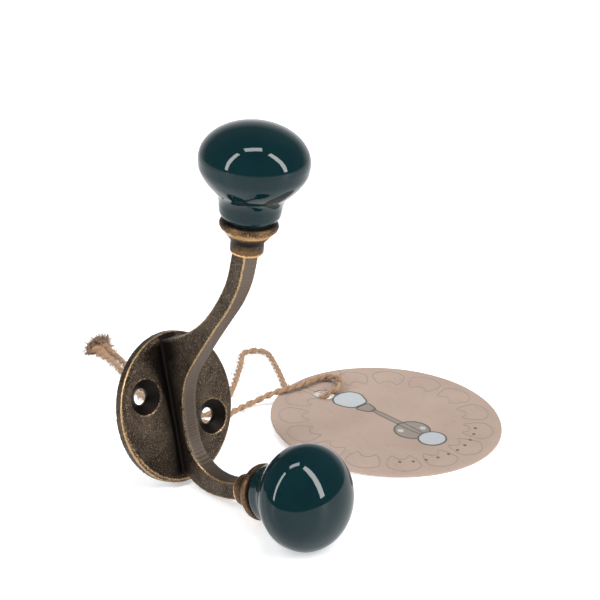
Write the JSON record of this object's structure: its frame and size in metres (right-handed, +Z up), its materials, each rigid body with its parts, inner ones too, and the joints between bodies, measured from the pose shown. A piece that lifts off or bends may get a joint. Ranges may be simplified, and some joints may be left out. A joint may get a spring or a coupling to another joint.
{
  "type": "wall hook",
  "caption": "Double wall hook with an oval cast back plate, upper and lower arms ending in glazed ceramic knobs, and a round card tag on jute twine.",
  "frame": {"origin": "on the table, under the middle of the hook's box (tag and twine left out), with the hook standing on its back plate's lower rim and its lower knob", "axes": "+Z up from the table, -Y the way the hook faces (out from the wall), +X to the right of someone facing the hook; the back plate leans back 15 degrees from +Z"},
  "size_m": [0.1292, 0.1562, 0.1155],
  "materials": {
    "aged_cast_brass": "antiqued, pitted casting, dark brown with rubbed edges",
    "worn_brass": "antiqued, rubbed bright on the rims",
    "zinc_steel": "zinc plated",
    "black_rubber": "matt black",
    "insert_brass": "turned",
    "setting_plaster": "matt set plaster",
    "teal_glaze": "dark teal gloss glaze",
    "kraft_card": "matt recycled card, printed with a plain petal border",
    "jute_twine": "two-ply jute, hairy"
  },
  "bodies": {
    "root": {"hook_casting": "aged_cast_brass", "upper_collar": "worn_brass", "lower_collar": "worn_brass", "upper_stud": "zinc_steel", "lower_stud": "zinc_steel", "upper_washer": "black_rubber", "lower_washer": "black_rubber", "twine_loop": "jute_twine", "twine_knot": "jute_twine", "twine_tail_left": "jute_twine", "twine_tail_right": "jute_twine"},
    "upper_knob": {"upper_knob": "teal_glaze", "upper_insert": "insert_brass", "upper_setting": "setting_plaster"},
    "lower_knob": {"lower_knob": "teal_glaze", "lower_insert": "insert_brass", "lower_setting": "setting_plaster"},
    "tag": {"hang_tag": "kraft_card"}
  },
  "joints": [
    {"name": "upper_knob_turn", "type": "hinge", "parent": "root", "child": "upper_knob", "pos_m": [0, -0.00284, 0.10539], "axis": [0, -0.0958, 0.9954], "continuous": true},
    {"name": "lower_knob_turn", "type": "hinge", "parent": "root", "child": "lower_knob", "pos_m": [0, -0.02638, 0.01482], "axis": [0, -0.9563, 0.2924], "continuous": true},
    {"name": "tag_swivel", "type": "hinge", "parent": "root", "child": "tag", "pos_m": [0.0682, 0.0358, 0.00245], "axis": [0, -0.0401, 0.9992], "range_deg": [-4, 16]}
  ]
}
